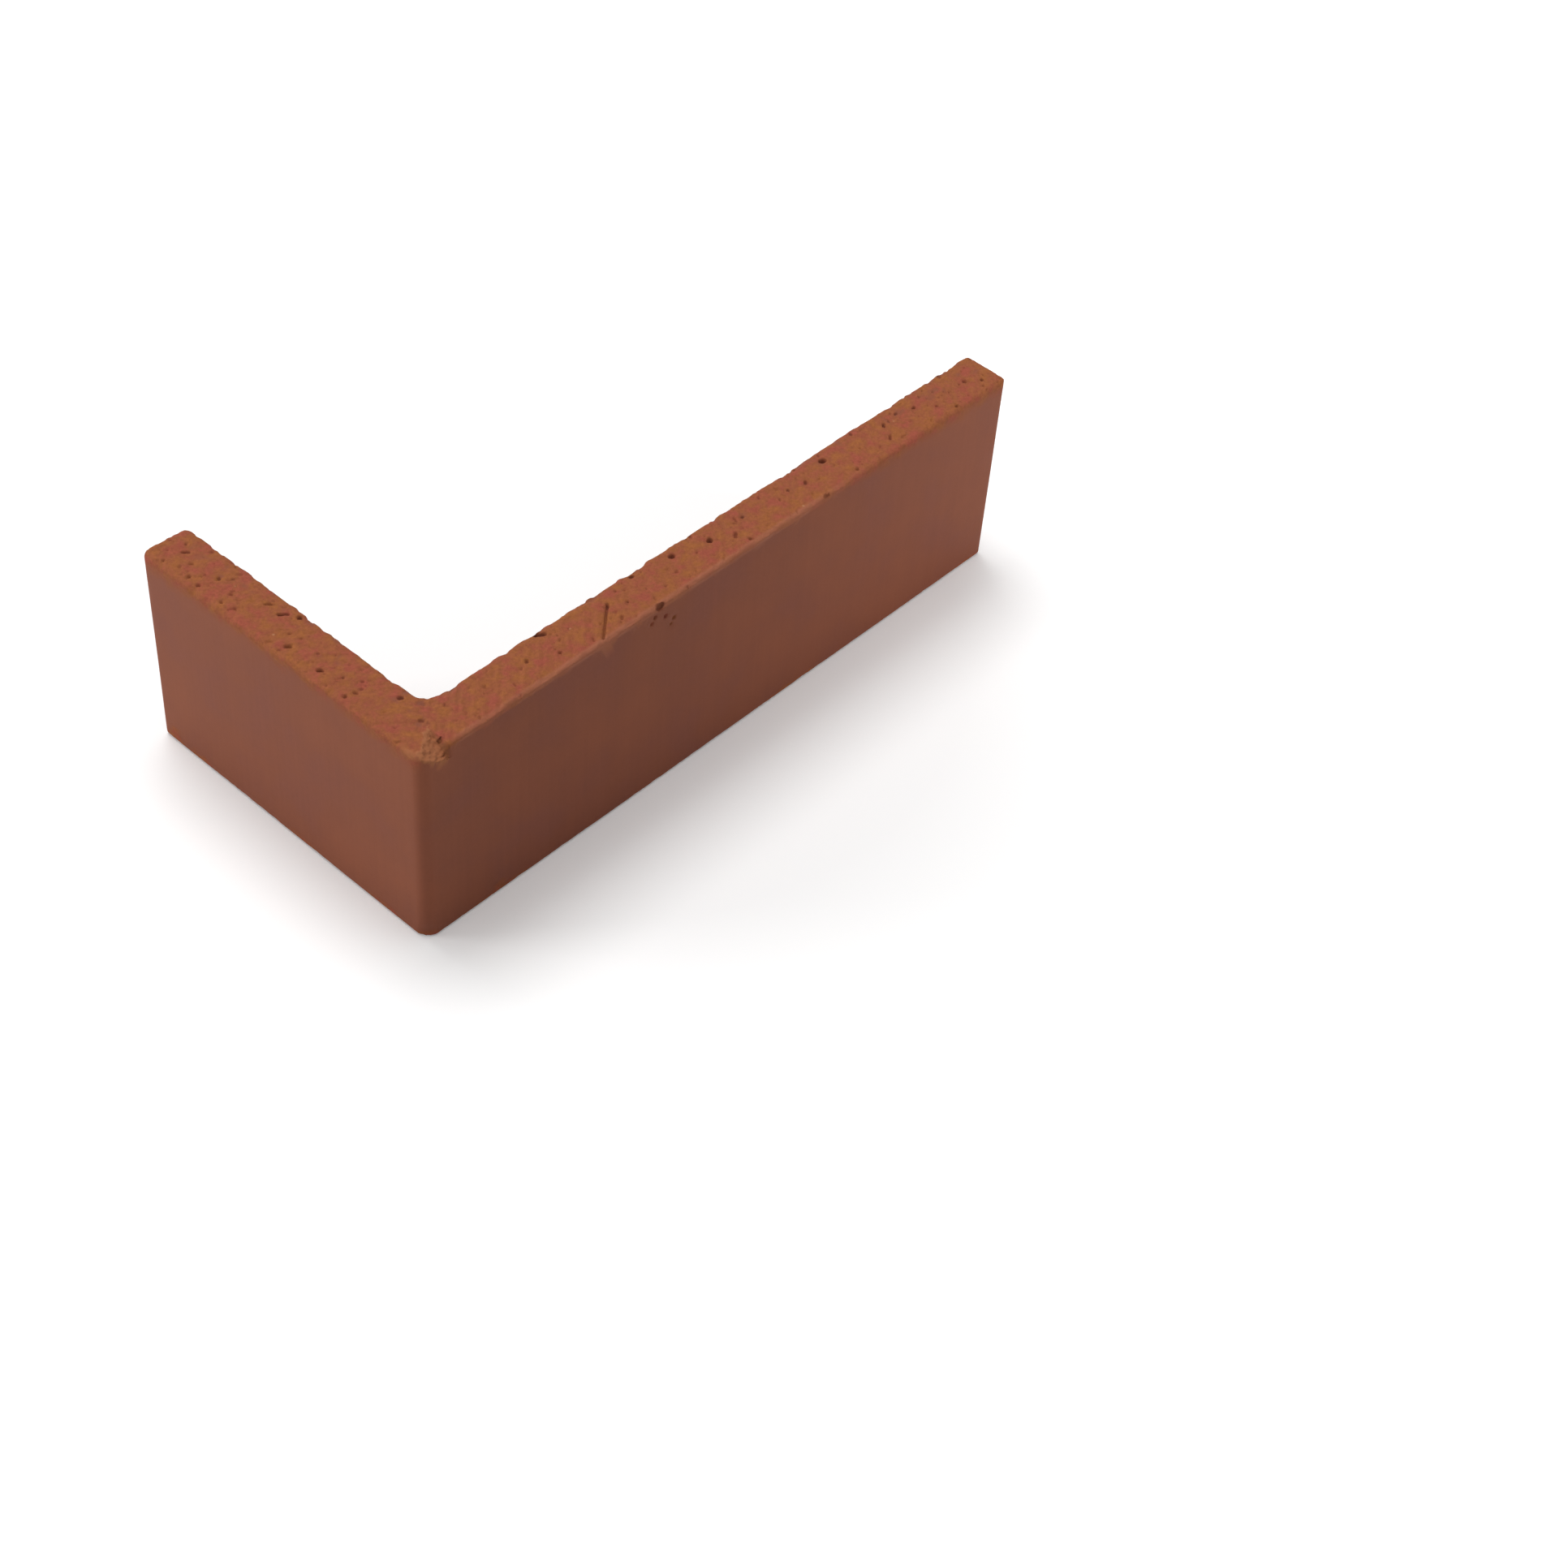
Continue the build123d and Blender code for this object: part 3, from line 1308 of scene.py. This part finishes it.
@dataclass(frozen=True)
class Studio:
    """A white sweep, soft light from above and behind, and the camera."""

    floor_width: float = 6.0
    floor_colour: str = "F0F0F0"
    near_lift: float = 0.165
    far_lift: float = 0.80
    lift_reach: tuple[float, float] = (0.095, 0.34)
    sky: float = 0.27
    lights: tuple[StudioLight, ...] = (
        StudioLight("key", LightKind.SOFT_BOX, azimuth=76.0, elevation=72.0, distance=1.9, width=0.8,
                    watts=13.2),
        StudioLight("overhead", LightKind.SOFT_BOX, azimuth=76.0, elevation=86.0, distance=1.9, width=1.6,
                    watts=13.6),
        StudioLight("left_fill", LightKind.SOFT_BOX, azimuth=138.0, elevation=14.0, distance=0.7, width=0.25,
                    watts=1.85, aim=(-0.097, 0.03, 0.03)),
        StudioLight("right_snoot", LightKind.SNOOT, azimuth=-65.0, elevation=14.0, distance=0.8, width=0.12,
                    watts=10.2, aim=(0.165, -0.046, 0.03), cone_degrees=25.0),
    )
    eye: Vector = Vector((-0.36103, -0.35583, 0.46871))
    aim: Vector = Vector((-0.00257, -0.06774, 0.0))
    roll_degrees: float = 5.376
    lens_mm: float = 63.2
    film_mm: float = 36.0

    def lay_floor(self) -> bpy.types.Object:
        """Lays the white floor, which keeps the brick's shadow.

        Returns:
            The floor.
        """
        form = bmesh.new()
        bmesh.ops.create_grid(form, x_segments=1, y_segments=1, size=self.floor_width / 2)
        mesh = bpy.data.meshes.new("floor")
        form.to_mesh(mesh)
        form.free()
        floor = bpy.data.objects.new("floor", mesh)
        bpy.context.scene.collection.objects.link(floor)
        made = bpy.data.materials.new("white_sweep")
        made.use_nodes = True
        tree = made.node_tree
        tree.nodes.clear()
        paper = add_node(tree, "ShaderNodeBsdfDiffuse", {"Color": linear_colour(self.floor_colour)})
        place = add_node(tree, "ShaderNodeTexCoord").outputs["Object"]
        away = add_node(tree, "ShaderNodeVectorMath", {"operation": "LENGTH"}, {0: place})
        near, far = self.lift_reach
        rise = add_node(tree, "ShaderNodeMapRange", {
            "From Min": near, "From Max": far, "To Min": self.near_lift, "To Max": self.far_lift},
            {"Value": away.outputs["Value"]})
        lift = add_node(tree, "ShaderNodeEmission", links={"Strength": rise.outputs["Result"]})
        lifted = add_node(tree, "ShaderNodeAddShader", {}, {
            0: paper.outputs["BSDF"], 1: lift.outputs["Emission"]})
        seen = self._seen_share(tree)
        shown = add_node(tree, "ShaderNodeMixShader", {}, {
            0: seen, 1: paper.outputs["BSDF"], 2: lifted.outputs["Shader"]})
        add_node(tree, "ShaderNodeOutputMaterial", {}, {"Surface": shown.outputs["Shader"]})
        mesh.materials.append(made)
        return floor

    @staticmethod
    def _seen_share(tree: bpy.types.NodeTree) -> bpy.types.NodeSocket:
        """Adds nodes that are 1 for what is seen directly, mirrored or through glass.

        Args:
            tree: The tree that gets the nodes.

        Returns:
            The share's socket.
        """
        path = add_node(tree, "ShaderNodeLightPath").outputs
        mirrored = add_node(tree, "ShaderNodeMath", {"operation": "MAXIMUM"}, {
            0: path["Is Glossy Ray"], 1: path["Is Transmission Ray"]})
        return add_node(tree, "ShaderNodeMath", {"operation": "MAXIMUM"}, {
            0: path["Is Camera Ray"], 1: mirrored.outputs[0]}).outputs[0]

    def fill_sky(self) -> bpy.types.World:
        """Makes the even white light that comes from all round.

        Returns:
            The world.
        """
        world = bpy.data.worlds.new("studio")
        world.use_nodes = True
        tree = world.node_tree
        tree.nodes.clear()
        seen = self._seen_share(tree)
        strength = add_node(tree, "ShaderNodeMapRange", {"To Min": self.sky, "To Max": 1.0}, {"Value": seen})
        light = add_node(tree, "ShaderNodeBackground", {"Color": (1.0, 1.0, 1.0, 1.0)},
                         {"Strength": strength.outputs["Result"]})
        add_node(tree, "ShaderNodeOutputWorld", {}, {"Surface": light.outputs["Background"]})
        bpy.context.scene.world = world
        return world

    def set_camera(self) -> bpy.types.Object:
        """Sets the camera.

        Returns:
            The camera.
        """
        lens = bpy.data.cameras.new("camera")
        lens.lens = self.lens_mm
        lens.sensor_width = self.film_mm
        made = bpy.data.objects.new("camera", lens)
        made.location = self.eye
        level = (self.aim - self.eye).to_track_quat("-Z", "Y")
        made.rotation_mode = "QUATERNION"
        made.rotation_quaternion = level @ Quaternion((0.0, 0.0, 1.0), math.radians(self.roll_degrees))
        bpy.context.scene.collection.objects.link(made)
        bpy.context.scene.camera = made
        return made

    def build(self) -> None:
        """Sets up the floor, the lights and the camera."""
        self.lay_floor()
        self.fill_sky()
        for light in self.lights:
            light.hang()
        self.set_camera()
        bpy.context.scene.view_settings.view_transform = "Standard"


def main() -> None:
    """Builds the brick and the studio, and keeps the sizes of both models."""
    logging.basicConfig(level=logging.INFO, format="%(name)s: %(message)s")
    low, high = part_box(NODE)
    brick = BrickCorner(low=low, high=high).build()
    LOG.info("%s: %d triangles", brick.name, count_triangles(brick.data))
    Studio().build()
    LOG.info("studio: floor, sky, lights and camera")


if __name__ == "__main__":
    main()
